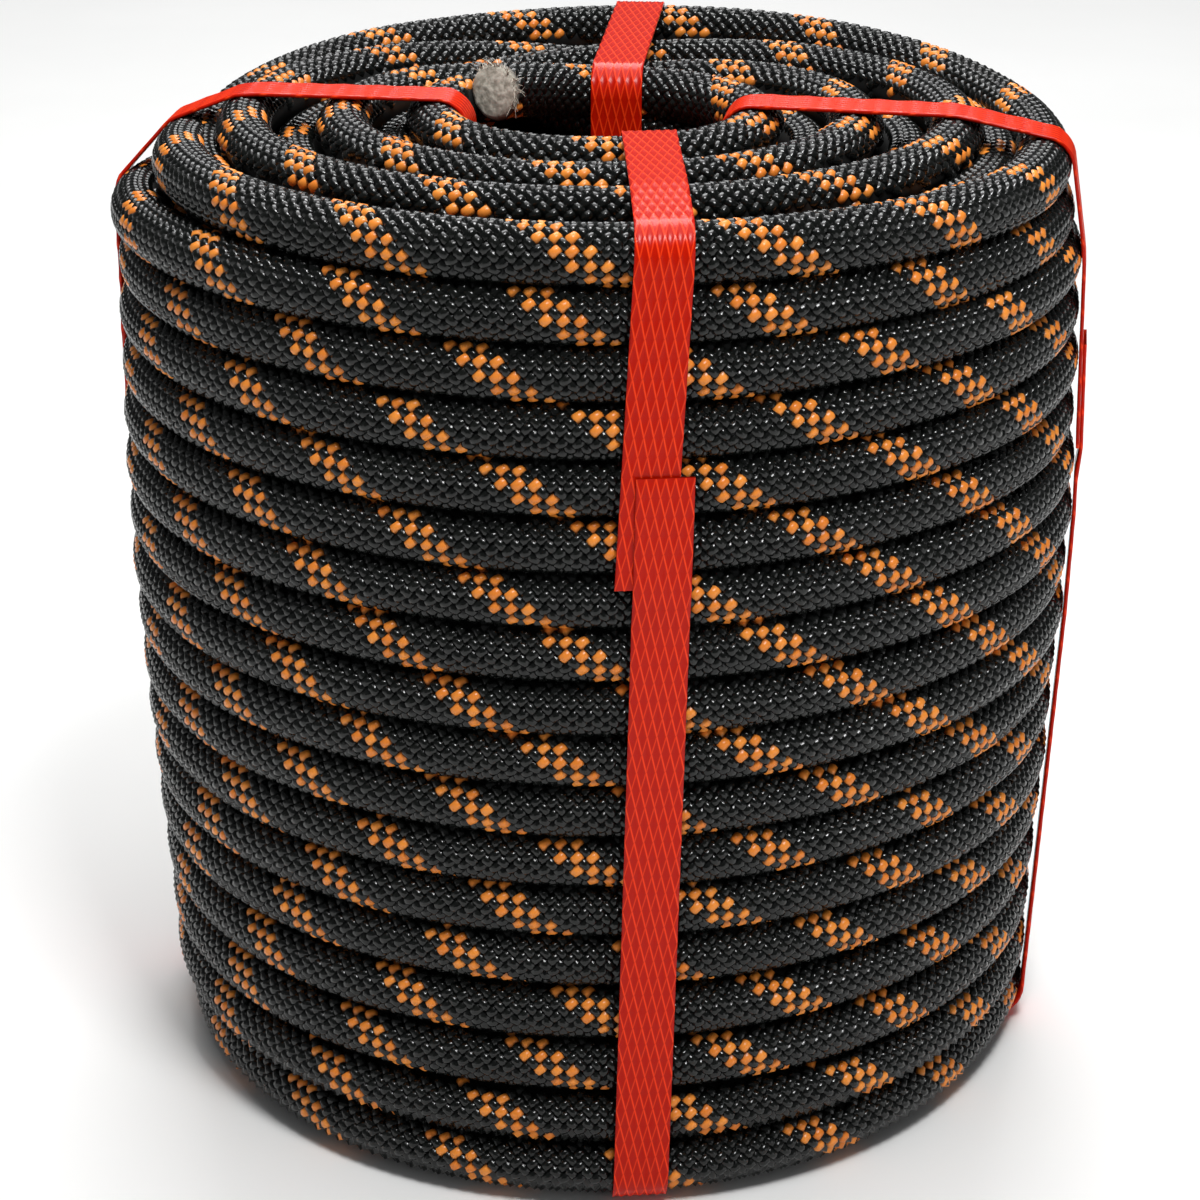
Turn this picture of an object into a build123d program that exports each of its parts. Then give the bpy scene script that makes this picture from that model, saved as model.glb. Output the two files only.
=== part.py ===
from build123d import *
import os
from math import cos, pi, sin, sqrt

# A machine-wound coil of braided rope, standing on its end like a barrel and held by four straps.
# The frame: the coil's axis is Z, the floor is z = 0, and the front strap is near -Y.
# Angles are in degrees, measured anticlockwise from +X as seen from above.

# --- Driving dimensions, in millimetres ------------------------------------------------------

# The rope, and how it is wound
rope_diameter = 12.7
sheath_thickness = 1.1      # the braided cover
core_strands_around = 6     # strands of the core, laid round one in the middle
strand_clearance = 0.05
row_pitch = 12.8            # height of one turn of the outer layer
rows = 18
layers = 7
layer_pitch = 12.0          # less than the diameter, because each layer beds into the last

# The barrel that the turns fill
hole_radius = 31.2
foot_taper = 4.5            # how much narrower the barrel is at its foot
crown_rise = 3.0            # the top turns crown up between the hole and the rim
shoulder_drop = 5.0         # and fall away towards the rim
waist_share = 0.80          # where the barrel is widest, as a share of its height
crown_share = 0.55          # where the crown is, as a share of the wall from hole to rim
foot_round = 16.0
shoulder_round = 15.0
crown_round = 60.0
waist_round = 90.0

# The straps, which the coil stands on
strap_width = 12.7
strap_thickness = 0.8
strap_gap = 0.1             # between a strap and the rope, everywhere but under the coil
strap_angles = {"front": -84.0, "right": -8.0, "back": 86.0, "left": 174.0}
lap_low = 155.0             # the welded lap of a strap's two ends, measured up from the floor
lap_high = 180.0
lap_shift = 2.0             # the upper end doesn't lie quite square on the lower one

# The two cut ends of the rope, each in a channel of its own
end_gap = 0.5
end_empty_angle = 18.0      # the empty stretch of channel past a cut end
cap_length = 1.6            # the disc of melted fibre that seals a cut
cap_round = 0.6
inner_end_angles = (20.0, 134.0)    # from where it joins the coil to the cut
outer_end_angles = (150.0, 62.0)

# --- Worked out from the driving dimensions --------------------------------------------------

rope_radius = rope_diameter / 2
core_radius = rope_radius - sheath_thickness
wall = (layers - 1) * layer_pitch + rope_diameter
coil_radius = hole_radius + wall
foot_radius = coil_radius - foot_taper
coil_floor = strap_thickness
coil_top = coil_floor + rows * row_pitch
waist_height = coil_floor + waist_share * rows * row_pitch

# A flat strap in a round hole touches it only with its edges, so its middle stands this far off.
hole_stand_off = hole_radius - sqrt(hole_radius**2 - (strap_width / 2)**2)

# The inner end lies in the top inside corner, the outer end in the bottom outside corner.
inner_end_radius = hole_radius + rope_radius + end_gap
inner_end_height = coil_top - rope_radius - end_gap
outer_end_inset = foot_round - (foot_round - rope_radius - end_gap) / sqrt(2)
outer_end_radius = foot_radius - outer_end_inset
outer_end_height = coil_floor + outer_end_inset

rope_length = sum(
    rows * 2 * pi * (hole_radius + rope_radius + layer * layer_pitch) for layer in range(layers)
)


# --- Building blocks -------------------------------------------------------------------------

def barrel_section(floor, grow=0.0, hole_grow=0.0):
    """Half of the barrel cut through its axis, drawn in X and Z, larger by grow but for its floor."""
    hole_side = hole_radius - hole_grow
    rim_side = coil_radius + grow
    crown_side = hole_radius + crown_share * wall
    corners = [
        (hole_side, 0, floor),
        (foot_radius + grow, 0, floor),
        (rim_side, 0, waist_height),
        (rim_side, 0, coil_top - shoulder_drop + grow),
        (crown_side, 0, coil_top + crown_rise + grow),
        (hole_side, 0, coil_top + grow),
    ]
    rounds = [
        rope_radius + grow,
        foot_round + grow,
        waist_round,
        shoulder_round + grow,
        crown_round,
        rope_radius + grow,
    ]
    return make_face(FilletPolyline(*corners, radius=rounds, close=True))


def outer_wall(height):
    """Radius of the barrel's straight outer wall at a height below the waist."""
    return foot_radius + foot_taper * (height - coil_floor) / (waist_height - coil_floor)


def ring_sector(radius_low, radius_high, height_low, height_high, start, arc):
    """A piece of a square-sectioned ring about Z, from the angle start through arc degrees."""
    section = make_face(Polyline(
        (radius_low, 0, height_low),
        (radius_high, 0, height_low),
        (radius_high, 0, height_high),
        (radius_low, 0, height_high),
        close=True,
    ))
    return Rot(0, 0, start) * revolve(section, Axis.Z, arc)


def round_bar(ring_radius, height, bar_radius, start, arc):
    """A round bar bent about Z, from the angle start through arc degrees."""
    section = Plane.XZ * Pos(ring_radius, height) * Circle(bar_radius)
    return Rot(0, 0, start) * revolve(section, Axis.Z, arc)


def end_channel(ring_radius, height, join, cut):
    """The room for a rope end, with an empty stretch past the cut."""
    reach = rope_radius + end_gap
    turn = 1 if cut > join else -1
    past_cut = cut + turn * end_empty_angle
    return ring_sector(
        ring_radius - reach, ring_radius + reach, height - reach, height + reach,
        min(join, past_cut), abs(past_cut - join),
    )


def rope_end(ring_radius, height, join, cut):
    """The sheath, the core strands and the sealing disc of one cut end of the rope."""
    start = min(join, cut)
    arc = abs(cut - join)
    turn = 1 if cut > join else -1
    cover = round_bar(ring_radius, height, rope_radius, start, arc)
    bore = round_bar(ring_radius, height, core_radius, start, arc)
    sheath = cover - bore

    # Seven equal strands fill a round core when each is a third of its width.
    strand_pitch = 2 * core_radius / 3
    strand_radius = core_radius / 3 - strand_clearance
    strands = [round_bar(ring_radius, height, strand_radius, start, arc)]
    for index in range(core_strands_around):
        angle = 2 * pi * index / core_strands_around
        strand_ring = ring_radius + strand_pitch * cos(angle)
        strand_height = height + strand_pitch * sin(angle)
        strands.append(round_bar(strand_ring, strand_height, strand_radius, start, arc))

    face_plane = Plane(origin=(ring_radius, 0, height), x_dir=(1, 0, 0), z_dir=(0, turn, 0))
    disc = Cylinder(rope_radius, cap_length, align=(Align.CENTER, Align.CENTER, Align.MIN))
    disc = fillet(disc.edges().group_by(Axis.Z)[-1], cap_round)
    cap = Rot(0, 0, cut) * (face_plane * disc)
    return sheath, Compound(children=strands), cap


def strap(angle):
    """One strap round the wall of the barrel, with its two ends lapped on the outside."""
    inner_face = strap_gap
    outer_face = strap_gap + strap_thickness
    inside = barrel_section(coil_floor, inner_face, inner_face + hole_stand_off)
    outside = barrel_section(0, outer_face, outer_face + hole_stand_off)
    band = extrude(outside - inside, strap_width / 2, both=True)

    low_face = outer_wall(lap_low) + outer_face
    high_face = outer_wall(lap_high) + outer_face
    lap = make_face(Polyline(
        (low_face, lap_shift, lap_low),
        (low_face + strap_thickness, lap_shift, lap_low),
        (high_face + strap_thickness, lap_shift, lap_high),
        (high_face, lap_shift, lap_high),
        close=True,
    ))
    return Rot(0, 0, angle) * (band + extrude(lap, strap_width / 2, both=True))


# --- The pieces ------------------------------------------------------------------------------

inner_sheath, inner_core, inner_cap = rope_end(
    inner_end_radius, inner_end_height, *inner_end_angles
)
outer_sheath, outer_core, outer_cap = rope_end(
    outer_end_radius, outer_end_height, *outer_end_angles
)

coil = revolve(barrel_section(coil_floor), Axis.Z)
coil -= end_channel(inner_end_radius, inner_end_height, *inner_end_angles)
coil -= end_channel(outer_end_radius, outer_end_height, *outer_end_angles)

pieces = {
    "rope_coil": coil,
    "inner_end_sheath": inner_sheath,
    "inner_end_core": inner_core,
    "inner_end_cap": inner_cap,
    "outer_end_sheath": outer_sheath,
    "outer_end_core": outer_core,
    "outer_end_cap": outer_cap,
}
for name, angle in strap_angles.items():
    pieces[f"strap_{name}"] = strap(angle)

os.makedirs("parts", exist_ok=True)
for name, piece in pieces.items():
    export_step(piece, f"parts/{name}.step")

print(f"coil {2 * coil_radius:.1f} mm across and {coil_top:.1f} mm tall")
print(f"{rope_length / 1000:.1f} m of rope")
print(f"inner end bends at {inner_end_radius:.1f} mm, outer end at {outer_end_radius:.1f} mm")
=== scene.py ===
# %% [markdown]
# # A coil of climbing rope, held by four plastic straps
#
# The real object is one length of kernmantle rope: a core of twisted strands inside a braided sheath.
# A machine winds it round a mandrel, layer upon layer, and four straps keep it in shape for sale.
# This script builds it round the CAD model, which fixes every size. The rope is modelled as it is
# made: one route of the full length first, then the braid on it, and the straps over it last.

# %% Load the frame
import math

import bmesh
import bpy
import numpy as np
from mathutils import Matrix, Vector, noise
from mathutils.kdtree import KDTree


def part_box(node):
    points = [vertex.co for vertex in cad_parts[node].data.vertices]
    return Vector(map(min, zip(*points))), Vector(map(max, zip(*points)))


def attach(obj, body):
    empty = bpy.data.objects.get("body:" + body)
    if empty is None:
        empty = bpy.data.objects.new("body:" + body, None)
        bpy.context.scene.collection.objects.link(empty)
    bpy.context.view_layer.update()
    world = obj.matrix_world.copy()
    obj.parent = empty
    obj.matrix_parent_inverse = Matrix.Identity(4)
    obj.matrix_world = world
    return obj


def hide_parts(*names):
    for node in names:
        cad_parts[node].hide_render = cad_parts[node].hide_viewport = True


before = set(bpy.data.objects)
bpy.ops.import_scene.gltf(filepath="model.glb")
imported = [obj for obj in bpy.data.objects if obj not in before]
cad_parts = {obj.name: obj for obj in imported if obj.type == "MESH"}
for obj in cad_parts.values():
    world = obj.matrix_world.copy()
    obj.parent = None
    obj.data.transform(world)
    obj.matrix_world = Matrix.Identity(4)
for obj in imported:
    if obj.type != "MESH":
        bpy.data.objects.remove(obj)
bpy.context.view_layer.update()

mm = 0.001

# %% [markdown]
# ## Camera, floor and light
#
# The coil stands on a pale floor. A broad lamp overhead and a bright panel behind it put a gloss on
# everything that faces up, and weak lamps in front leave the upright wall as dark as black yarn is.
# A small key lamp high in front draws one crisp light on each plump piece of yarn.

# %% Camera
camera = bpy.data.objects.new("camera", bpy.data.cameras.new("camera"))
camera.location = (0.0, -0.7576, 0.4083)
camera.rotation_euler = (math.radians(90 - 21.65), 0.0, 0.0)
camera.data.sensor_width = 36.0
camera.data.lens = 95.92
bpy.context.scene.collection.objects.link(camera)
bpy.context.scene.camera = camera

# %% Helpers for colour and nodes


def paint(code):
    """Turns an sRGB hex colour into the linear colour that shaders work in."""
    parts = [int(code[i:i + 2], 16) / 255 for i in (1, 3, 5)]
    linear = [c / 12.92 if c <= 0.04045 else ((c + 0.055) / 1.055) ** 2.4 for c in parts]
    return (*linear, 1.0)


def add(tree, kind, settings=None, inputs=None):
    """Adds one node. An input is given a plain value, a socket, or a node for its first output."""
    made = tree.nodes.new(kind)
    for name, value in (settings or {}).items():
        setattr(made, name, value)
    for name, value in (inputs or {}).items():
        if isinstance(value, bpy.types.Node):
            value = value.outputs[0]
        if isinstance(value, bpy.types.NodeSocket):
            tree.links.new(value, made.inputs[name])
        else:
            made.inputs[name].default_value = value
    return made


def new_material(name, **values):
    """A material with one Principled shader, its plain values set on the shader's own sockets."""
    made = bpy.data.materials.new(name)
    made.use_nodes = True
    shader = made.node_tree.nodes["Principled BSDF"]
    for socket, value in values.items():
        shader.inputs[socket.replace("_", " ")].default_value = value
    return made, made.node_tree, shader


# %% Floor and lamps
bpy.context.scene.view_settings.view_transform = "Standard"
world = bpy.data.worlds.new("tent")
world.use_nodes = True
world.node_tree.nodes["Background"].inputs["Color"].default_value = paint("#f4f6f8")
world.node_tree.nodes["Background"].inputs["Strength"].default_value = 0.14
bpy.context.scene.world = world

# White paint on board is matt, and a little uneven in tone over patches about 25 mm wide.
floor_material, floor_tree, floor_shader = new_material("painted_board", Roughness=0.7)
grain = add(floor_tree, "ShaderNodeTexNoise", None, {"Scale": 40.0, "Detail": 3.0})
tone = add(floor_tree, "ShaderNodeMix", {"data_type": "RGBA"}, {
    0: grain, 6: paint("#f3f3f2"), 7: paint("#fbfbfa"),
})
floor_tree.links.new(tone.outputs[2], floor_shader.inputs["Base Color"])
floor_mesh = bpy.data.meshes.new("floor")
floor_mesh.from_pydata([(-3, -3, 0), (3, -3, 0), (3, 3, 0), (-3, 3, 0)], [], [(0, 1, 2, 3)])
floor_mesh.materials.append(floor_material)
floor = bpy.data.objects.new("floor", floor_mesh)
bpy.context.scene.collection.objects.link(floor)


def lamp(name, place, size, power, aim=(0.0, 0.0, 0.12)):
    """A square area lamp that points at the coil."""
    light = bpy.data.lights.new(name, "AREA")
    light.size = size
    light.energy = power
    made = bpy.data.objects.new(name, light)
    made.location = place
    made.rotation_euler = (Vector(aim) - Vector(place)).to_track_quat("-Z", "Y").to_euler()
    bpy.context.scene.collection.objects.link(made)


lamp("overhead", (0.0, 0.15, 1.5), 1.2, 12.0)
lamp("panel_behind", (0.0, 1.5, 1.9), 1.3, 32.0)
lamp("key", (0.12, -0.4, 0.9), 0.2, 5.0)
lamp("front_left", (-0.8, -0.6, 0.15), 0.5, 0.4)
lamp("front_right", (0.75, -0.75, 0.15), 0.5, 1.0)

# %% [markdown]
# ## The route of the rope
#
# A cord is a length before it is a shape, so its centreline comes first. The machine lays 18 turns
# down the mandrel, then 17 back up in the valleys between them, and so on for 7 layers. Each turn is
# a flat ring almost all the way round and steps to the next one at the back, which is why the rows
# look level from the front. A loop works out the ring of every turn, and 16 control points a turn
# on a NURBS spline join them into one smooth line.

# %% Sizes of the winding
plump = 7.0 * mm            # the radius that the slack sheath swells to where nothing presses on it
strap_room = 0.6 * mm       # the straps pass under the coil
rows = 18
layers = 7
coil_low, coil_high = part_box("rope_coil")
coil_radius = (coil_high.x - coil_low.x) / 2
hole_radius = 31.2 * mm
foot_taper = 4.5 * mm       # how much narrower the coil is at its foot than at its waist
waist_swell = 2.4 * mm      # how much the outer layer bulges half way up
row_pitch = 12.776 * mm
foot_spread = 3.1 * mm      # what the lowest rows have between them beyond that
first_height = coil_low.z + plump + strap_room
inner_turn = hole_radius + plump
outer_turn = coil_radius - plump
crown = [1.2, 0.4, 1.1, 0.6, 1.7, 0.4, 0.0]     # how far each layer's top turn stands up, in mm

# %% The ring of every turn


def ease(x):
    """Rises smoothly from 0 to 1."""
    x = np.clip(x, 0.0, 1.0)
    return x * x * (3 - 2 * x)


def bump(x, middle, half):
    """A smooth hump of height 1, half its width away from the middle on each side."""
    return np.exp(-((x - middle) / half) ** 2)


def turn_radius(layer, height):
    """How far out a layer's turns lie. The outer ones bulge, and taper in towards the foot."""
    share = layer / (layers - 1)
    waist = 0.8 * rows * row_pitch
    below = max(0.0, (waist - height) / waist)
    swell = waist_swell * bump(height, 130 * mm, 60 * mm) if layer == layers - 1 else 0.0
    return inner_turn + share * (outer_turn - inner_turn - foot_taper * below) + swell


rings = []                  # layer, distance out and height of each turn, in the order of winding
for layer in range(layers):
    nested = layer % 2 * row_pitch / 2
    low = first_height + nested
    high = first_height + (rows - 1) * row_pitch - nested + crown[layer] * mm
    heights = np.linspace(low, high, rows - layer % 2)
    heights += foot_spread * ease((heights - first_height) / (4 * row_pitch))
    if layer % 2 == 0:
        heights = heights[::-1]
    rings += [(layer, turn_radius(layer, height), height) for height in heights]
ring_out = np.array([ring[1] for ring in rings])
ring_height = np.array([ring[2] for ring in rings])
turns = len(rings)
outer_first = turns - rows  # the first turn of the outer layer, which is the coil's top edge
print(f"{turns} turns in {layers} layers")

# %% The line through them
start_angle = 142.0         # where the inner cut end lies, in degrees round from +X
end_angle = 62.0            # where the outer one lies, under the back of the coil
seam_angle = 90.0           # the steps from turn to turn are at the back
half_step = 0.15            # half the length of such a step, in turns
last_half_step = 0.09       # the last one is quicker
points_per_turn = 16
chance = np.random.default_rng(12)
seam_lag = chance.uniform(-0.015, 0.015, turns + 1)
# The outer layer's steps begin a fifth of a turn early at its top and drift back as it goes down.
seam_lag[outer_first:] += -0.20 * (1 - np.linspace(0, 1, rows + 1))
seam_lag[outer_first] = -0.05
seam_lag[outer_first + 1] = -0.20
seam_lag[turns - 1] = 0.16  # the last step waits until it is past the outer cut end


def place(t):
    """Distance out, height and angle of the line after t turns from the seam."""
    seam = np.round(t).astype(int)
    before = np.clip(seam - 1, 0, turns - 1)
    after = np.clip(seam, 0, turns - 1)
    half = np.where(seam == turns - 1, last_half_step, half_step)
    share = ease((t - seam - seam_lag[np.clip(seam, 0, turns)]) / (2 * half) + 0.5)
    out = ring_out[before] + share * (ring_out[after] - ring_out[before])
    height = ring_height[before] + share * (ring_height[after] - ring_height[before])
    angle = math.radians(seam_angle) - 2 * math.pi * t
    return out, height, angle


first_t = (seam_angle - start_angle) / 360
last_t = turns + (seam_angle - end_angle) / 360
t = np.linspace(first_t, last_t, round((last_t - first_t) * points_per_turn) + 1)
out, height, angle = place(t)

# The inner end curls inwards and lies on top.
from_start = t - first_t
out -= 5.5 * mm * np.clip(1 - from_start / 0.15, 0, 1) ** 2
height += 4.4 * mm * (1 - ease(from_start / 0.14))

# Single turns slip off their rings. The turn behind the inner end makes room for it. The coil's top
# edge slips inwards on the left, where the turn below shows outside it, sinks a little on the right
# and stands up at the back.
left, right, back = 0.76, 0.25, 0.0     # places on a turn, in turns from the seam
slips = (                               # the place, how far outwards and upwards in mm, half the length
    (0.88, 8.0, 0.0, 0.09),
    (outer_first + left, -10.0, 0.0, 0.13),
    (outer_first - 1 + left, -3.0, 0.0, 0.13),
    (outer_first - 1 + right, -2.5, 0.0, 0.11),
    (outer_first + right, -4.0, -3.0, 0.11),
    (outer_first + 1 + right, -2.5, -2.0, 0.11),
    (outer_first - 1 + back, 1.5, 4.0, 0.17),
    (outer_first + back, 1.5, 4.0, 0.17),
    (outer_first - 0.13, 3.0, 3.5, 0.08),
    (outer_first + 1 + left, 1.8, 0.0, 0.12),
)
for middle, outwards, upwards, half_length in slips:
    out += outwards * mm * bump(t, middle, half_length)
    height += upwards * mm * bump(t, middle, half_length)

# The foot is fuller at the front and slimmer on the left, and the bottom turn tucks under at the
# sides once it is past the last step.
low_down = np.clip(1 - (height - first_height) / (5 * row_pitch), 0, 1) * (t > outer_first)
out += 4.0 * mm * low_down * np.clip(-np.sin(angle), 0, 1) ** 3
out -= 1.5 * mm * low_down * np.clip(-np.cos(angle), 0, 1) ** 2
on_foot = t > turns - 0.7
side = np.cos(angle) ** 2
out -= 3.0 * mm * side * on_foot
height += 0.6 * mm * side * on_foot

# No two turns lie quite alike, and the ones on the right are the least even.
loose = 0.22 * mm * (1 + 1.6 * bump(np.mod(np.degrees(angle) + 180, 360), 165, 40))
knots = np.arange(first_t, last_t + 1, 0.3)
for wander in (out, height):
    wander += loose * np.interp(t, knots, chance.uniform(-1, 1, len(knots)))

# %% The route as a NURBS spline
route_data = bpy.data.curves.new("route", "CURVE")
route_data.dimensions = "3D"
spline = route_data.splines.new("NURBS")
spline.points.add(len(t) - 1)
control_out = out / math.cos(math.pi / points_per_turn)  # the line runs inside its control points
corners = np.stack([
    control_out * np.cos(angle), control_out * np.sin(angle), height, np.ones(len(t)),
], axis=1)
spline.points.foreach_set("co", corners.ravel())
spline.order_u = 3
spline.use_endpoint_u = True
route = bpy.data.objects.new("route", route_data)
bpy.context.scene.collection.objects.link(route)


def line_points(steps):
    """The points of the route's spline, with that many steps from one control point to the next."""
    route_data.resolution_u = steps
    bpy.context.view_layer.update()
    seen = route.evaluated_get(bpy.context.evaluated_depsgraph_get())
    mesh = bpy.data.meshes.new_from_object(seen)
    points = np.empty(len(mesh.vertices) * 3)
    mesh.vertices.foreach_get("co", points)
    bpy.data.meshes.remove(mesh)
    return points.reshape(-1, 3)


def lengths(points):
    """How far along the line each of its points is."""
    return np.concatenate([[0.0], np.cumsum(np.linalg.norm(np.diff(points, axis=0), axis=1))])


tube_line = line_points(2)
line = line_points(6)
along = lengths(line)
round_axis = np.unwrap(np.arctan2(line[:, 1], line[:, 0]))
line_t = first_t + (round_axis[0] - round_axis) / (2 * math.pi)
rope_length = along[-1]
bpy.data.objects.remove(route)
print(f"{rope_length:.2f} m of rope, {len(tube_line)} points on its line")

# %% [markdown]
# ## Materials of the rope
#
# The sheath is braided from polyester multifilament yarn: melt-spun, drawn and dyed. Its filaments
# are far finer than a lens resolves, so a few coarse lines along each yarn stand for them. Drawn
# polyester is smooth, which gives small crisp lights on every plump pick and deep shade between.

# %% Yarn


def yarn(name, painted_shade_colour, body, lit, rough, sheen):
    """Braided yarn: painted shade where each pick dives under its neighbours, and fine lines along it."""
    made, tree, shader = new_material(
        name, Roughness=rough, IOR=1.55, Specular_IOR_Level=0.34,
        Sheen_Weight=sheen, Sheen_Roughness=0.25,
    )
    spot = add(tree, "ShaderNodeUVMap", {"uv_map": "pick"})
    centred = add(tree, "ShaderNodeVectorMath", {"operation": "SUBTRACT"}, {
        0: spot, 1: (0.5, 0.5, 0.0),
    })
    away = add(tree, "ShaderNodeVectorMath", {"operation": "LENGTH"}, {0: centred})
    # Painted shade: the colour darkens towards each pick's rim, where it dives under its neighbours.
    rim = add(tree, "ShaderNodeMapRange", None, {0: away.outputs["Value"], 1: 0.28, 2: 0.62})
    shade = add(tree, "ShaderNodeAttribute", {"attribute_name": "shade"})
    face = add(tree, "ShaderNodeMix", {"data_type": "RGBA"}, {
        0: shade.outputs["Fac"], 6: paint(body), 7: paint(lit),
    })
    colour = add(tree, "ShaderNodeMix", {"data_type": "RGBA"}, {
        0: rim, 6: face.outputs[2], 7: paint(painted_shade_colour),
    })
    tree.links.new(colour.outputs[2], shader.inputs["Base Color"])
    # 11 lines across a pick 3.5 mm wide, far coarser than real filaments, so that they show
    stretched = add(tree, "ShaderNodeVectorMath", {"operation": "MULTIPLY"}, {
        0: spot, 1: (0.6, 11.0, 1.0),
    })
    fibre = add(tree, "ShaderNodeTexNoise", {"noise_dimensions": "2D"}, {
        "Vector": stretched, "Scale": 1.0, "Detail": 1.0,
    })
    raised = add(tree, "ShaderNodeBump", None, {
        "Strength": 0.25, "Distance": 0.00015, "Height": fibre,
    })
    tree.links.new(raised.outputs[0], shader.inputs["Normal"])
    return made


# The first colour given to each yarn is its painted shade, at the rim of every pick.
black_yarn = yarn("black_polyester_yarn", "#030404", "#080a09", "#101210", 0.18, 0.05)
orange_yarn = yarn("orange_polyester_yarn", "#3c1206", "#e27f2c", "#f3953b", 0.30, 0.03)

# Between the picks lies yarn in deep shade: matt, with flecks about 1 mm wide.
ground, ground_tree, ground_shader = new_material("sheath_ground", Roughness=0.6)
fuzz = add(ground_tree, "ShaderNodeTexNoise", None, {"Scale": 900.0, "Detail": 2.0})
dark = add(ground_tree, "ShaderNodeMix", {"data_type": "RGBA"}, {
    0: fuzz, 6: paint("#050606"), 7: paint("#121413"),
})
ground_tree.links.new(dark.outputs[2], ground_shader.inputs["Base Color"])

# %% [markdown]
# ## The inside of the sheath
#
# Under the picks lies a plain tube, which closes the gaps between them. Geometry Nodes sweep a ring
# along the route, because that follows one path and has one size to set.

# %% Trees that take named inputs


def start_tree(name, sockets):
    """A Geometry Nodes tree with named inputs besides its geometry, and those inputs' outputs."""
    tree = bpy.data.node_groups.new(name, "GeometryNodeTree")
    tree.interface.new_socket("Geometry", in_out="INPUT", socket_type="NodeSocketGeometry")
    tree.interface.new_socket("Geometry", in_out="OUTPUT", socket_type="NodeSocketGeometry")
    for socket, kind in sockets.items():
        tree.interface.new_socket(socket, in_out="INPUT", socket_type="NodeSocket" + kind)
    return tree, add(tree, "NodeGroupInput").outputs


def run_tree(name, mesh, tree, values):
    """Runs a tree on a mesh and returns the plain mesh that it makes, as a new object."""
    source = bpy.data.objects.new(name + "_source", mesh)
    bpy.context.scene.collection.objects.link(source)
    modifier = source.modifiers.new(name, "NODES")
    modifier.node_group = tree
    for item in tree.interface.items_tree:
        if item.name in values:
            modifier[item.identifier] = values[item.name]
    bpy.context.view_layer.update()
    seen = source.evaluated_get(bpy.context.evaluated_depsgraph_get())
    result = bpy.data.meshes.new_from_object(seen)
    bpy.data.objects.remove(source)
    bpy.data.meshes.remove(mesh)
    result.name = name
    made = bpy.data.objects.new(name, result)
    bpy.context.scene.collection.objects.link(made)
    result.calc_loop_triangles()
    print(f"{name}: {len(result.loop_triangles)} triangles")
    return made


# %% Sweep the tube
tube_tree, given = start_tree("sweep_tube", {
    "Radius": "Float", "Sides": "Int", "Material": "Material",
})
path = add(tube_tree, "GeometryNodeMeshToCurve", None, {0: given["Geometry"]})
ring = add(tube_tree, "GeometryNodeCurvePrimitiveCircle", None, {
    "Resolution": given["Sides"], "Radius": given["Radius"],
})
swept = add(tube_tree, "GeometryNodeCurveToMesh", None, {
    "Curve": path, "Profile Curve": ring, "Fill Caps": True,
})
soft = add(tube_tree, "GeometryNodeSetShadeSmooth", None, {0: swept})
real = add(tube_tree, "GeometryNodeRealizeInstances", None, {0: soft})
dressed = add(tube_tree, "GeometryNodeSetMaterial", None, {
    0: real, "Material": given["Material"],
})
add(tube_tree, "NodeGroupOutput", None, {0: dressed})

tube_radius = 5.95 * mm     # just under the picks
path_mesh = bpy.data.meshes.new("rope_path")
path_mesh.from_pydata(tube_line.tolist(), [(i, i + 1) for i in range(len(tube_line) - 1)], [])
tube = run_tree("rope", path_mesh, tube_tree, {
    "Radius": tube_radius, "Sides": 10, "Material": ground,
})

# %% [markdown]
# ## The braid
#
# The sheath has 12 yarns that wind to the right and 12 that wind to the left, each once round in
# 42 mm, one over and one under. So the crossings make a regular lattice, and every crossing shows
# one short float of the upper yarn: a pick. Three neighbouring right-hand yarns are orange, which
# gives the tracer that climbs round the rope. Laying the lattice out with arrays is quick, and a
# Geometry Nodes tree then sets one small pillow on each point of it.

# %% Lattice sizes
lay = 42.0 * mm             # one full turn of a yarn
yarns = 12                  # in each direction
pick_pitch = lay / yarns
pick_level = 6.3 * mm       # how far out the picks sit
pick_length = 2.6 * mm      # along the yarn
pick_width = 3.55 * mm      # across it
pick_crown = 0.7 * mm       # how far its middle stands up
pick_dive = 0.6 * mm        # and how far its rim goes down between its neighbours
pick_slope = 1.35           # a float crosses the rope more steeply than its yarn does as a whole
tracer_yarns = 3

# Where the tracer crosses the front of each turn, in mm to the right of the middle. A turn isn't a
# whole number of lays long, so the tracer falls back from one row to the next. It falls back most at
# the waist, where the turns are longest, and least under the top turn, which slips inwards.
fall_back = 10.2 + 15.1 * bump(np.arange(rows - 1) + 0.5, 6.6, 4.3)
fall_back[0] -= 7.8
side_tracer = -3.0 - np.concatenate([[0.0], np.cumsum(fall_back)])
top_tracer = {0: 9, 35: 0, 70: 17}


# %% Twist of the rope along its length
tracer = dict(top_tracer)
tracer.update({outer_first + row: shift for row, shift in enumerate(side_tracer)})
front_t = np.array(sorted(tracer)) + 0.5
front_along = np.interp(front_t, line_t, along)
wanted = np.array([tracer[turn] for turn in sorted(tracer)]) * mm
twist = -(2 * math.pi * (front_along - wanted) / lay + math.pi / yarns * 2)
twist = np.unwrap(np.mod(twist, 2 * math.pi))

# %% Frames along the line


def frames(distance):
    """Point, direction, outward and upward directions of the rope at distances along it."""
    point = np.stack([np.interp(distance, along, line[:, k]) for k in range(3)], axis=1)
    ahead = np.stack([np.interp(distance + 2 * mm, along, line[:, k]) for k in range(3)], axis=1)
    behind = np.stack([np.interp(distance - 2 * mm, along, line[:, k]) for k in range(3)], axis=1)
    forward = ahead - behind
    forward /= np.linalg.norm(forward, axis=1)[:, None]
    outward = point * (1, 1, 0)
    outward -= forward * (outward * forward).sum(1)[:, None]
    outward /= np.linalg.norm(outward, axis=1)[:, None]
    return point, forward, outward, np.cross(forward, outward)


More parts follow.
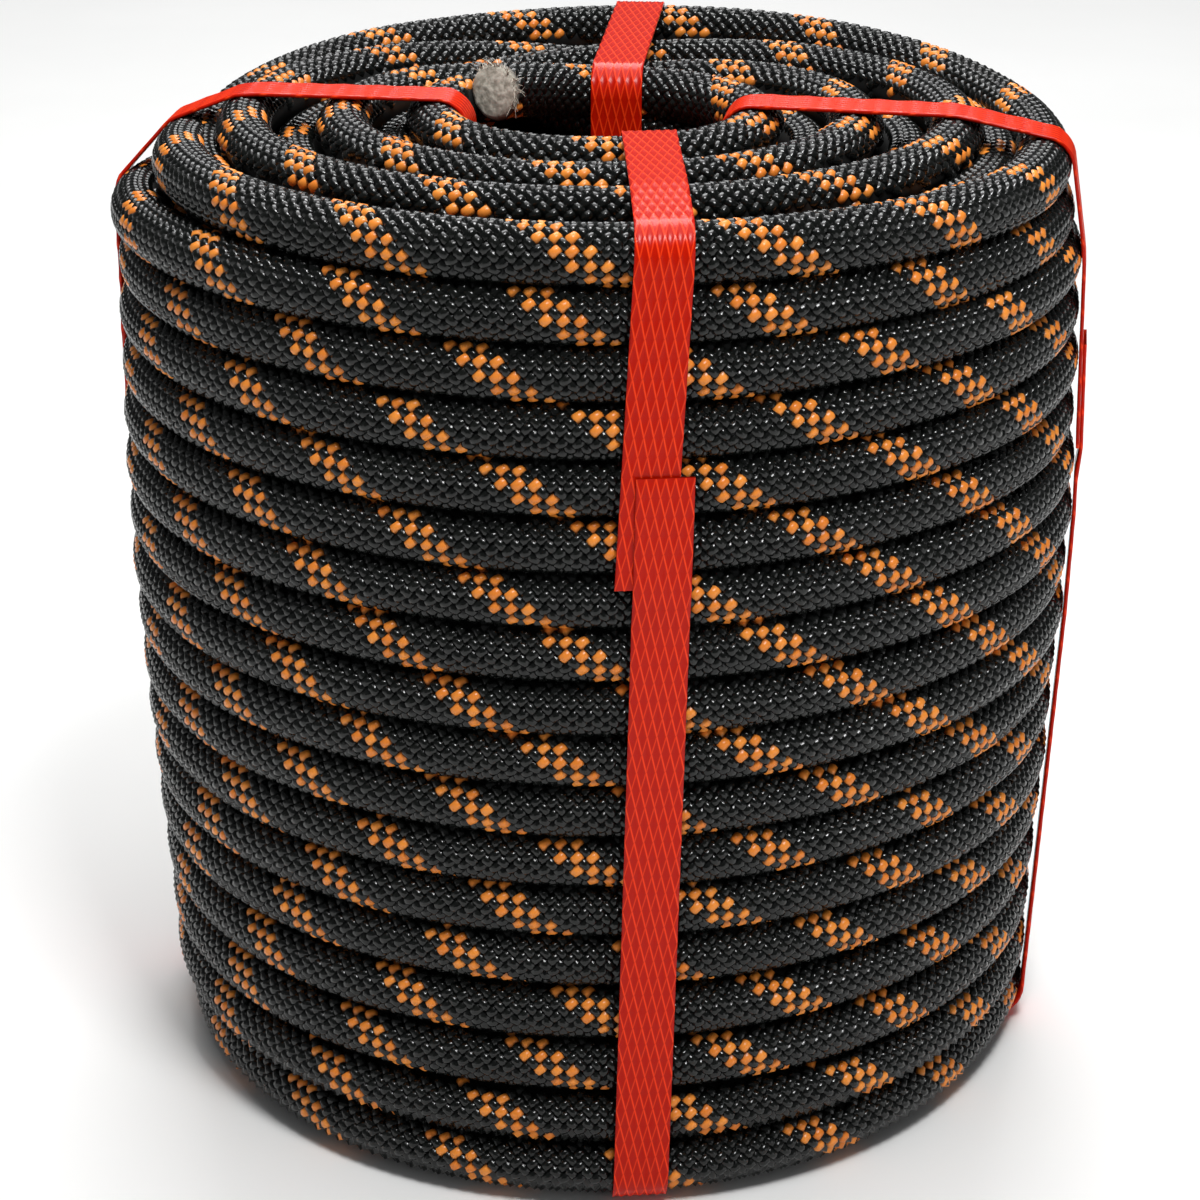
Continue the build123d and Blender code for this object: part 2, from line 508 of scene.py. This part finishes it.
# %% Which picks face the open
hole_from = rows            # the first turn that isn't on the wall of the hole
top_zone = coil_high.z - 1.8 * row_pitch
foot_zone = first_height + 1.6 * row_pitch
turn_tree = KDTree(len(line) // 2 + 1)
for index, point in enumerate(line[::2]):
    turn_tree.insert(point, index)
turn_tree.balance()
look_out = ((4.0, 5.0), (9.0, 6.0), (16.0, 6.0))    # a step out, and the room needed there, in mm


def in_the_open(surface, normal):
    """True where no other turn of the rope lies over the pick."""
    open_picks = np.ones(len(surface), bool)
    for step, room in look_out:
        for index in np.nonzero(open_picks)[0]:
            if turn_tree.find(surface[index] + normal[index] * step * mm)[2] < room * mm:
                open_picks[index] = False
    return open_picks


def lay_picks(hand):
    """All picks of one direction: place, outward, along the yarn, turn, and whether it's tracer."""
    shift = 0.0 if hand > 0 else 0.5
    steps = np.arange(1, int(rope_length / pick_pitch) - 1) + shift
    point, forward, outward, upward = frames(steps * pick_pitch)
    now = np.interp(steps * pick_pitch, along, line_t)
    turned = np.interp(now, front_t, twist)
    found = []
    for strand in range(yarns):
        around = 2 * math.pi * (strand + shift) / yarns + turned
        cos, sin = np.cos(around)[:, None], np.sin(around)[:, None]
        normal = outward * cos + upward * sin
        round_way = upward * cos - outward * sin
        direction = forward + hand * round_way * pick_slope
        direction /= np.linalg.norm(direction, axis=1)[:, None]
        colour = np.mod(strand - steps.astype(int), yarns) < tracer_yarns
        found.append((point + normal * plump, normal, direction, now, colour & (hand > 0)))
    found = [np.concatenate(part) for part in zip(*found)]
    # The turns between the hole's wall and the outer layer can be seen only from above and below.
    surface, normal, direction, now, colour = found
    from_above = surface[:, 2] > top_zone
    from_below = (surface[:, 2] < foot_zone) & (normal[:, 2] < -0.3)
    on_wall = (now < hole_from) | (now > outer_first - 1)
    found = [part[on_wall | from_above | from_below] for part in found]
    seen = in_the_open(found[0], found[1])
    found = [part[seen] for part in found]
    found[0] -= found[1] * (plump - pick_level)
    return found


picks = [np.concatenate(pair) for pair in zip(lay_picks(1), lay_picks(-1))]
print(f"{len(picks[0])} picks show, {int(picks[4].sum())} of them orange")

# %% One pillow, set on every point
pick_tree, given = start_tree("set_picks", {
    "Length": "Float", "Width": "Float", "Crown": "Float", "Dive": "Float",
    "Along": "Int", "Across": "Int", "Material": "Material",
})
grid = add(pick_tree, "GeometryNodeMeshGrid", None, {
    "Size X": 2.0, "Size Y": 2.0, "Vertices X": given["Along"], "Vertices Y": given["Across"],
})
corner_map = {"data_type": "FLOAT2", "domain": "CORNER"}
mapped = add(pick_tree, "GeometryNodeStoreNamedAttribute", corner_map, {
    0: grid, "Name": "pick", "Value": grid.outputs[1],
})
here = add(pick_tree, "GeometryNodeInputPosition")
flat = add(pick_tree, "ShaderNodeSeparateXYZ", None, {0: here})


def pushed_out(position):
    """The grid's lines moved towards its rim, where the pillow turns down."""
    size = add(pick_tree, "ShaderNodeMath", {"operation": "ABSOLUTE"}, {0: position})
    size = add(pick_tree, "ShaderNodeMath", {"operation": "POWER"}, {0: size, 1: 0.6})
    side = add(pick_tree, "ShaderNodeMath", {"operation": "SIGN"}, {0: position})
    return add(pick_tree, "ShaderNodeMath", {"operation": "MULTIPLY"}, {0: size, 1: side})


def arch(position, power):
    """1 in the middle and 0 at the rim. It is a half circle for a power of 2, and flatter for more."""
    size = add(pick_tree, "ShaderNodeMath", {"operation": "ABSOLUTE"}, {0: position})
    fall = add(pick_tree, "ShaderNodeMath", {"operation": "POWER"}, {0: size, 1: power})
    rest = add(pick_tree, "ShaderNodeMath", {"operation": "SUBTRACT"}, {0: 1.0, 1: fall})
    rest = add(pick_tree, "ShaderNodeMath", {"operation": "MAXIMUM"}, {0: rest, 1: 0.0})
    return add(pick_tree, "ShaderNodeMath", {"operation": "SQRT"}, {0: rest})


def drawn_in(position, other, size):
    """A coordinate in metres, a little smaller towards the corners."""
    corner = add(pick_tree, "ShaderNodeMath", {"operation": "POWER"}, {0: other, 1: 2.0})
    corner = add(pick_tree, "ShaderNodeMath", {"operation": "MULTIPLY"}, {0: corner, 1: 0.16})
    corner = add(pick_tree, "ShaderNodeMath", {"operation": "SUBTRACT"}, {0: 1.0, 1: corner})
    half = add(pick_tree, "ShaderNodeMath", {"operation": "MULTIPLY"}, {0: size, 1: 0.5})
    metres = add(pick_tree, "ShaderNodeMath", {"operation": "MULTIPLY"}, {0: position, 1: half})
    return add(pick_tree, "ShaderNodeMath", {"operation": "MULTIPLY"}, {0: metres, 1: corner})


u = pushed_out(flat.outputs[0])
v = pushed_out(flat.outputs[1])
domed = add(pick_tree, "ShaderNodeMath", {"operation": "MULTIPLY"}, {0: arch(u, 2.0), 1: arch(v, 4.0)})
thick = add(pick_tree, "ShaderNodeMath", {"operation": "ADD"}, {0: given["Crown"], 1: given["Dive"]})
rise = add(pick_tree, "ShaderNodeMath", {"operation": "MULTIPLY"}, {0: thick, 1: domed})
level = add(pick_tree, "ShaderNodeMath", {"operation": "SUBTRACT"}, {0: rise, 1: given["Dive"]})
shaped = add(pick_tree, "ShaderNodeCombineXYZ", None, {
    0: drawn_in(u, v, given["Length"]),
    1: drawn_in(v, u, given["Width"]),
    2: level,
})
pillow = add(pick_tree, "GeometryNodeSetPosition", None, {
    0: mapped, "Position": shaped,
})
soft = add(pick_tree, "GeometryNodeSetShadeSmooth", None, {0: pillow})
vector, number = {"data_type": "FLOAT_VECTOR"}, {"data_type": "FLOAT"}
outward_name = add(pick_tree, "GeometryNodeInputNamedAttribute", vector, {0: "outward"})
yarn_name = add(pick_tree, "GeometryNodeInputNamedAttribute", vector, {0: "yarn"})
full_name = add(pick_tree, "GeometryNodeInputNamedAttribute", number, {0: "fullness"})
stand = add(pick_tree, "FunctionNodeAxesToRotation", {"primary_axis": "Z", "secondary_axis": "X"}, {
    0: outward_name, 1: yarn_name,
})
laid = add(pick_tree, "GeometryNodeInstanceOnPoints", None, {
    "Points": given["Geometry"], "Instance": soft,
    "Rotation": stand, "Scale": full_name,
})
real = add(pick_tree, "GeometryNodeRealizeInstances", None, {0: laid})
dressed = add(pick_tree, "GeometryNodeSetMaterial", None, {
    0: real, "Material": given["Material"],
})
add(pick_tree, "NodeGroupOutput", None, {0: dressed})


def pick_piece(name, chosen, material, vertices):
    """The picks of one stretch of the rope as one piece."""
    base, normal, direction = (part[chosen] for part in picks[:3])
    mesh = bpy.data.meshes.new(name)
    mesh.vertices.add(len(base))
    mesh.vertices.foreach_set("co", base.ravel())
    for attribute, kind, values in (
        ("outward", "FLOAT_VECTOR", normal),
        ("yarn", "FLOAT_VECTOR", direction),
        ("fullness", "FLOAT", chance.uniform(0.94, 1.06, len(base))),
        ("shade", "FLOAT", chance.uniform(0.0, 1.0, len(base))),
    ):
        stored = mesh.attributes.new(attribute, kind, "POINT")
        stored.data.foreach_set("vector" if "VECTOR" in kind else "value", values.ravel())
    return run_tree(name, mesh, pick_tree, {
        "Length": pick_length, "Width": pick_width, "Crown": pick_crown, "Dive": pick_dive,
        "Along": vertices[0], "Across": vertices[1], "Material": material,
    })


# %% Share the picks out into pieces
turn_of_pick = picks[3]
pick_height = picks[0][:, 2]
is_tracer = picks[4].astype(bool)
in_the_hole = np.hypot(picks[0][:, 0], picks[0][:, 1]) < inner_turn
deep = in_the_hole & (pick_height < coil_high.z - 2.6 * row_pitch)
under = ~in_the_hole & (pick_height < foot_zone) & (picks[1][:, 2] < -0.3)
regions = {
    "hole": deep,
    "foot": under,
    "top": ~deep & ~under & (turn_of_pick < outer_first),
    "side": ~deep & ~under & (turn_of_pick >= outer_first),
}
fine_grid, coarse_grid = (5, 4), (3, 3)
# More picks than this would take a piece past 200,000 triangles.
most_in_piece = {"hole": 24000, "foot": 24000, "top": 8200, "side": 8200}
braid = []
for region, inside in regions.items():
    grid_size = coarse_grid if region in ("hole", "foot") else fine_grid
    for colour, wanted_tracer, material in (("braid", False, black_yarn), ("tracer", True, orange_yarn)):
        chosen = np.nonzero(inside & (is_tracer == wanted_tracer))[0]
        chosen = chosen[np.argsort(turn_of_pick[chosen], kind="stable")]
        shares = np.array_split(chosen, max(1, math.ceil(len(chosen) / most_in_piece[region])))
        for number, share in enumerate(shares, 1):
            label = f"{colour}_{region}" + (f"_{number}" if len(shares) > 1 else "")
            braid.append(pick_piece(label, share, material, grid_size))

# %% [markdown]
# ## The cut ends
#
# The rope is cut with a hot knife, which melts core and sheath into one hard disc. It is built as
# a disc of rings that is pushed up and down by noise, in a lumpy grey with the charred black yarn
# round it. A few filaments of the core escaped the knife, and stand out round the inner end as threads.

# %% Cut ends
# Melted fibre sets hard and rough, in a dull grey-white, with lumps one or two millimetres wide.
melt, melt_tree, melt_shader = new_material("melted_polyester_fibre", Roughness=0.75, IOR=1.55)
where = add(melt_tree, "ShaderNodeTexCoord")
lumps = add(melt_tree, "ShaderNodeTexNoise", None, {
    "Vector": where.outputs["Object"], "Scale": 700.0, "Detail": 4.0,
})
ramp = add(melt_tree, "ShaderNodeMapRange", None, {0: lumps, 1: 0.35, 2: 0.62})
melt_tone = add(melt_tree, "ShaderNodeMix", {"data_type": "RGBA"}, {
    0: ramp, 6: paint("#9a9486"), 7: paint("#d6d0c2"),
})
rim_share = add(melt_tree, "ShaderNodeAttribute", {"attribute_name": "rim"})
charred = add(melt_tree, "ShaderNodeMix", {"data_type": "RGBA"}, {
    0: rim_share.outputs["Fac"], 6: melt_tone.outputs[2], 7: paint("#1c1815"),
})
melt_tree.links.new(charred.outputs[2], melt_shader.inputs["Base Color"])
melt_bump = add(melt_tree, "ShaderNodeBump", None, {
    "Strength": 0.6, "Distance": 0.0004, "Height": lumps,
})
melt_tree.links.new(melt_bump.outputs[0], melt_shader.inputs["Normal"])


cut_radius = 7.1 * mm
cut_dome = 1.0 * mm         # how far the middle of the disc stands out
cut_lip = 1.2 * mm          # how far its rim turns back over the sheath
cut_lumps = 0.25 * mm


def cut_end(name, distance, sign):
    """The sealed disc at one end of the rope. It faces away from the rope."""
    point, forward, outward, upward = (part[0] for part in frames(np.array([distance])))
    rings_out, slices = 10, 40
    verts = [point + forward * sign * cut_dome]
    for ring_number in range(1, rings_out + 1):
        share = ring_number / rings_out
        for k in range(slices):
            around = 2 * math.pi * k / slices
            way = outward * math.cos(around) + upward * math.sin(around)
            radius = cut_radius * share * (1 + 0.03 * math.sin(3 * around))
            spot = point + way * radius
            rise = cut_dome * (1 - share ** 3) - cut_lip * max(0.0, share - 0.9) * 10
            rise += cut_lumps * noise.noise(Vector(spot) * 600)
            verts.append(spot + forward * sign * rise)
    faces = [(0, 1 + k, 1 + (k + 1) % slices) for k in range(slices)]
    for ring_number in range(rings_out - 1):
        a = 1 + ring_number * slices
        b = a + slices
        faces += [(a + k, b + k, b + (k + 1) % slices, a + (k + 1) % slices) for k in range(slices)]
    if sign < 0:
        faces = [face[::-1] for face in faces]
    mesh = bpy.data.meshes.new(name)
    mesh.from_pydata([tuple(v) for v in verts], [], faces)
    charring = mesh.attributes.new("rim", "FLOAT", "POINT")
    charring.data.foreach_set("value", [0.0] * (1 + slices * (rings_out - 1)) + [1.0] * slices)
    mesh.materials.append(melt)
    for face in mesh.polygons:
        face.use_smooth = True
    made = bpy.data.objects.new(name, mesh)
    bpy.context.scene.collection.objects.link(made)
    return made


inner_cut = cut_end("inner_cut_end", 0.0, -1)
outer_cut = cut_end("outer_cut_end", rope_length, 1)

# %% Loose threads of the core
# Undyed polyamide is cream-white and fairly smooth, browned here and there by the hot knife.
filament, filament_tree, filament_shader = new_material(
    "polyamide_core_filament", Roughness=0.45, IOR=1.53,
)
tint = add(filament_tree, "ShaderNodeTexNoise", None, {"Scale": 500.0})
filament_tone = add(filament_tree, "ShaderNodeMix", {"data_type": "RGBA"}, {
    0: tint, 6: paint("#9a8a72"), 7: paint("#f2eee4"),
})
filament_tree.links.new(filament_tone.outputs[2], filament_shader.inputs["Base Color"])


def loose_threads(name, count, first_side, last_side):
    """Thin bent threads round the top and the inner side of the inner cut end, in one mesh."""
    point, forward, outward, upward = (part[0] for part in frames(np.array([0.0])))
    pieces_long, sides, thread_radius = 4, 3, 0.16 * mm
    verts, faces = [], []
    for around in np.radians(chance.uniform(first_side, last_side, count)):
        way = outward * math.cos(around) + upward * math.sin(around)
        past = np.cross(forward, way)
        length = chance.uniform(1.8, 4.2) * mm
        lean, swerve = chance.uniform(-0.6, 1.0), chance.uniform(-0.8, 0.8)
        first = len(verts)
        for k in range(pieces_long + 1):
            share = k / pieces_long
            centre = point + way * (6.3 * mm + length * 0.55 * share)
            centre = centre - forward * lean * length * share + past * swerve * length * share ** 2
            for side_number in range(sides):
                turned = 2 * math.pi * side_number / sides
                spoke = past * math.cos(turned) + forward * math.sin(turned)
                verts.append(centre + spoke * thread_radius * (1 - 0.7 * share))
        for k in range(pieces_long):
            for side_number in range(sides):
                a, b = first + k * sides + side_number, first + k * sides + (side_number + 1) % sides
                faces.append((a, b, b + sides, a + sides))
        faces.append(tuple(first + pieces_long * sides + n for n in range(sides)))
    mesh = bpy.data.meshes.new(name)
    mesh.from_pydata([tuple(v) for v in verts], [], faces)
    mesh.materials.append(filament)
    made = bpy.data.objects.new(name, mesh)
    bpy.context.scene.collection.objects.link(made)
    return made


threads = loose_threads("inner_end_threads", 70, 35, 215)

# %% [markdown]
# ## The straps
#
# Each strap is a band of embossed polypropylene, 12.7 mm wide, pulled tight round the coil's wall and
# welded where its ends lap. A tight band takes the shortest way round what it holds. In the upright
# plane of the strap that way is the convex hull of the rope's cut sections, so the hull of the real
# route is its path, with no guess about where it touches. The embossing is real geometry: a net of
# raised lines between sunk diamonds, laid flat first and then bent onto the path.

# %% Strap sizes
strap_width = 12.7 * mm
strap_thickness = 0.7 * mm
diamonds_across = 6
diamond_tall = 8.6 * mm
emboss = 0.16 * mm          # how far the lines stand above the floor of a diamond
sunk_share = 0.64           # how much of a diamond its floor takes up
# Painted highlight: the slopes of the lines that lean to the left get more of it than the others.
painted_bright_lean, painted_dim_lean = 1.0, 0.72     # the lines that lean to the left stand out more than the others
lap_low = 156.5 * mm
lap_high = 182.0 * mm
strap_gap = 0.05 * mm       # between a strap and what it presses on
outer_side = 80 * mm        # a strap's outer side is farther out than this
climb_start = 9 * mm        # a strap climbs onto its other end just before the lap
climb_length = 8 * mm
bend_cuts = np.arange(-15, 15, 1.4) * mm    # where the band is cut on each side of a bend

# %% The path of a strap


def sections(azimuth, sideways):
    """Where the rope passes through an upright plane beside the coil's axis: out and height."""
    out_way = np.array([math.cos(azimuth), math.sin(azimuth)])
    side_way = np.array([-out_way[1], out_way[0]])
    off_plane = line[:, :2] @ side_way - sideways
    distance = line[:, :2] @ out_way
    through = np.nonzero((off_plane[:-1] * off_plane[1:] < 0) & (distance[:-1] > 0))[0]
    share = off_plane[through] / (off_plane[through] - off_plane[through + 1])
    here = np.stack([distance, line[:, 2]], axis=1)
    return here[through] + share[:, None] * (here[through + 1] - here[through])


def hull(points):
    """The convex hull of points in a plane, anticlockwise."""
    points = sorted(map(tuple, points))
    halves = []
    for order in (points, points[::-1]):
        half = []
        for p in order:
            while len(half) > 1 and (
                (half[-1][0] - half[-2][0]) * (p[1] - half[-2][1])
                - (half[-1][1] - half[-2][1]) * (p[0] - half[-2][0])
            ) <= 0:
                half.pop()
            half.append(p)
        halves += half[:-1]
    return np.array(halves)


def strap_path(azimuth):
    """The closed way of a strap round the coil's wall, from its lower lap height upwards."""
    circle = np.radians(np.arange(0, 360, 6))
    ring = np.stack([np.cos(circle), np.sin(circle)], axis=1) * (plump + strap_gap)
    centres = np.concatenate([
        sections(azimuth, sideways) for sideways in (-strap_width / 2, 0.0, strap_width / 2)
    ])
    loop = hull((centres[:, None] + ring[None]).reshape(-1, 2))
    rising = np.roll(loop, -1, axis=0)
    passes_lap = (loop[:, 1] < lap_low) & (rising[:, 1] >= lap_low)
    crossing = np.nonzero(passes_lap & (loop[:, 0] > outer_side))[0][0]
    share = (lap_low - loop[crossing, 1]) / (rising[crossing, 1] - loop[crossing, 1])
    first = loop[crossing] + share * (rising[crossing] - loop[crossing])
    return np.concatenate([[first], np.roll(loop, -crossing - 1, axis=0), [first]])


# %% The flat band and its embossing


def flat_band(length):
    """An embossed band: points along, across and up, faces, and each corner's painted highlight."""
    half_v = strap_width / diamonds_across / 2
    half_u = diamond_tall / 2
    long = int(length / half_u)
    half_u = length / long
    verts, faces, raised, known, lean_painted_light = [], [], [], {}, {}

    def vert(u, v, h, ridge_painted_light):
        key = (round(u * 1e6), round(v * 1e6), round(h * 1e7))
        if key not in known:
            known[key] = len(verts)
            verts.append((u, v, h))
            raised.append(ridge_painted_light)
        return known[key]

    # Each diamond has a raised outline, a sunk floor and four slopes. The rims cut some in half.
    wide = 2 * diamonds_across
    rim_points = {0: set(), wide: set()}
    for j in range(long + 1):
        for i in range(wide + 1):
            if (i + j) % 2 == 0:
                continue
            middle = (j * half_u, (i - diamonds_across) * half_v)
            ways = [(0, 1), (1, 0), (0, -1), (-1, 0)]
            corners_at = []
            for du, dv in ways:
                inside_u = 0 <= j + du <= long
                inside_v = 0 <= i + dv <= wide
                corners_at.append((du, dv) if inside_u and inside_v else None)
            outer_ring, inner_ring = [], []
            for corner in corners_at:
                if corner is None:
                    outer_ring.append(None)
                    inner_ring.append(None)
                    continue
                du, dv = corner
                du, dv = du * half_u, dv * half_v
                outer_ring.append(vert(middle[0] + du, middle[1] + dv, emboss, 1.0))
                inner_ring.append(vert(middle[0] + du * sunk_share, middle[1] + dv * sunk_share, 0.0, 0.0))
            for k in range(4):
                n = (k + 1) % 4
                if outer_ring[k] is None or outer_ring[n] is None:
                    continue
                # Painted highlight: slopes of one lean are painted brighter than those of the other.
                lean_painted_light[len(faces)] = painted_bright_lean if k % 2 == 0 else painted_dim_lean
                faces.append((outer_ring[k], inner_ring[k], inner_ring[n], outer_ring[n]))
            floor_ring = [v for v in inner_ring if v is not None]
            if len(floor_ring) == 4:
                faces.append((floor_ring[0], floor_ring[3], floor_ring[1]))
                faces.append((floor_ring[1], floor_ring[3], floor_ring[2]))
            elif len(floor_ring) == 3:
                order = [inner_ring[k] for k in (0, 3, 2, 1) if inner_ring[k] is not None]
                faces.append(tuple(order))

    # The rims' own points, in order along the band, get partners on its plain underside.
    for index, (u, v, h) in enumerate(verts):
        for rim_index in rim_points:
            if abs(v - (rim_index - diamonds_across) * half_v) < 1e-7:
                rim_points[rim_index].add((round(u, 7), index))
    left = [index for _, index in sorted(rim_points[0])]
    right = [index for _, index in sorted(rim_points[wide])]
    under = {}
    for index in left + right:
        under[index] = len(verts)
        verts.append((verts[index][0], verts[index][1], -strap_thickness))
        raised.append(0.3)
    for side_chain, flip in ((left, False), (right, True)):
        for a, b in zip(side_chain, side_chain[1:]):
            face = (a, under[a], under[b], b)
            faces.append(face[::-1] if flip else face)
    for k in range(len(left) - 1):
        faces.append((under[left[k]], under[right[k]], under[right[k + 1]], under[left[k + 1]]))
    # Each corner's painted highlight is its line share times the lean of its face.
    ridge_painted_light = [
        raised[index] * lean_painted_light.get(number, 1.0)
        for number, face in enumerate(faces) for index in face
    ]
    return np.array(verts), faces, ridge_painted_light


# %% Bend it onto the path


def strap(name, azimuth, sideways):
    """One strap. sideways holds its shift in mm at its under end, shoulder, hole, foot and top end."""
    azimuth = math.radians(azimuth)
    loop = strap_path(azimuth)
    round_way = lengths(loop)
    full = round_way[-1] + lap_high - lap_low
    corner = [0.0] + [
        round_way[np.argmax(loop[:, 0] * a + loop[:, 1] * b)] for a, b in ((1, 1), (-1, 1), (-1, -1), (1, -1))
    ] + [full]
    mesh = bpy.data.meshes.new(name)
    verts, faces, ridge_painted_light = flat_band(full)
    mesh.from_pydata(verts.tolist(), [], faces)
    stored = mesh.attributes.new("ridge_painted_light", "FLOAT", "CORNER")
    stored.data.foreach_set("value", ridge_painted_light)

    # The flat band is cut across where it will bend, so that the bends come out round.
    band = bmesh.new()
    band.from_mesh(mesh)
    for middle in corner[1:-1]:
        for cut in middle + bend_cuts:
            near = [face for face in band.faces if abs(face.calc_center_bounds().x - cut) < diamond_tall]
            around = {item for face in near for item in (*face.verts, *face.edges)} | set(near)
            bmesh.ops.bisect_plane(band, geom=list(around), plane_co=(cut, 0, 0), plane_no=(1, 0, 0))
    band.to_mesh(mesh)
    band.free()
    verts = np.empty(len(mesh.vertices) * 3)
    mesh.vertices.foreach_get("co", verts)
    verts = verts.reshape(-1, 3)
    u = verts[:, 0]

    def on_loop(distance):
        """The points of the strap's path at distances along it."""
        distance = np.mod(distance, round_way[-1])
        return np.stack([np.interp(distance, round_way, loop[:, k]) for k in (0, 1)], axis=1)

    here = on_loop(u)
    ahead = on_loop(u + 1.2 * mm) - on_loop(u - 1.2 * mm)
    ahead /= np.linalg.norm(ahead, axis=1)[:, None]
    normal = np.stack([ahead[:, 1], -ahead[:, 0]], axis=1)
    # The last stretch climbs onto the first one, and stays a strap's thickness above it.
    climb = ease((u - round_way[-1] + climb_start) / climb_length)
    climb *= strap_thickness + emboss + strap_gap
    up = verts[:, 2] + strap_thickness + climb
    flat = here + normal * up[:, None]
    shifts = [sideways[0], sideways[1], sideways[2], sideways[2], sideways[3], sideways[4]]
    across = verts[:, 1] + np.interp(u, corner, shifts) * mm
    out_way = np.array([math.cos(azimuth), math.sin(azimuth), 0.0])
    side_way = np.array([-out_way[1], out_way[0], 0.0])
    spot = flat[:, :1] * out_way + across[:, None] * side_way
    spot[:, 2] = flat[:, 1]
    mesh.vertices.foreach_set("co", spot.ravel())
    mesh.materials.append(red_strap)
    mesh.shade_smooth()
    mesh.calc_loop_triangles()
    made = bpy.data.objects.new(name, mesh)
    bpy.context.scene.collection.objects.link(made)
    print(f"{name}: {full / mm:.0f} mm long, {len(mesh.loop_triangles)} triangles")
    return made


# %% Red polypropylene
# It is extruded, drawn to a thin band and rolled between engraved rollers, which leave it smooth and
# softly glossy. The raised lines are painted paler than the floors between them: a painted highlight.
red_strap, strap_tree, strap_shader = new_material(
    "embossed_polypropylene", Roughness=0.24, IOR=1.49, Specular_IOR_Level=0.16, Subsurface_Weight=0.05,
)
strap_shader.inputs["Subsurface Radius"].default_value = (0.0012, 0.0003, 0.0002)
# Painted highlight: the red is mixed paler on the raised lines, more on one lean than the other.
ridge_painted_light = add(strap_tree, "ShaderNodeAttribute", {"attribute_name": "ridge_painted_light"})
ridge_light_share = add(strap_tree, "ShaderNodeMapRange", None, {0: ridge_painted_light.outputs["Fac"], 1: 0.25, 2: 0.9})
strap_red_and_painted_light = add(strap_tree, "ShaderNodeMix", {"data_type": "RGBA"}, {
    0: ridge_light_share, 6: paint("#ba1602"), 7: paint("#fb4216"),
})
strap_tree.links.new(strap_red_and_painted_light.outputs[2], strap_shader.inputs["Base Color"])

# Where each strap lies, in degrees round from +X, and how far it wanders sideways on its way.
straps = [
    strap("front_strap", -84.0, (-2.9, 1.5, 7.8, -2.7, 1.6)),
    strap("right_strap", -8.0, (-1.0, -4.0, 0.0, -3.0, 1.5)),
    strap("back_strap", 86.0, (0.5, -3.5, -2.0, 0.5, -1.0)),
    strap("left_strap", 174.0, (1.0, 1.5, 0.0, 0.5, -1.0)),
]

# %% [markdown]
# ## Hand everything to the frame
#
# Nothing on this object moves, so every piece rides on the one body. The CAD solids that the pieces
# stand for are hidden.

# %% Ride and replace
pieces = [tube, *braid, inner_cut, outer_cut, threads, *straps]
for piece in pieces:
    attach(piece, "root")
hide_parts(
    "rope_coil", "inner_end_sheath", "inner_end_core", "outer_end_sheath", "outer_end_core",
)
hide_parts("inner_end_cap")
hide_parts("outer_end_cap")
for piece, node in zip(straps, ("strap_front", "strap_right", "strap_back", "strap_left")):
    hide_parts(node)
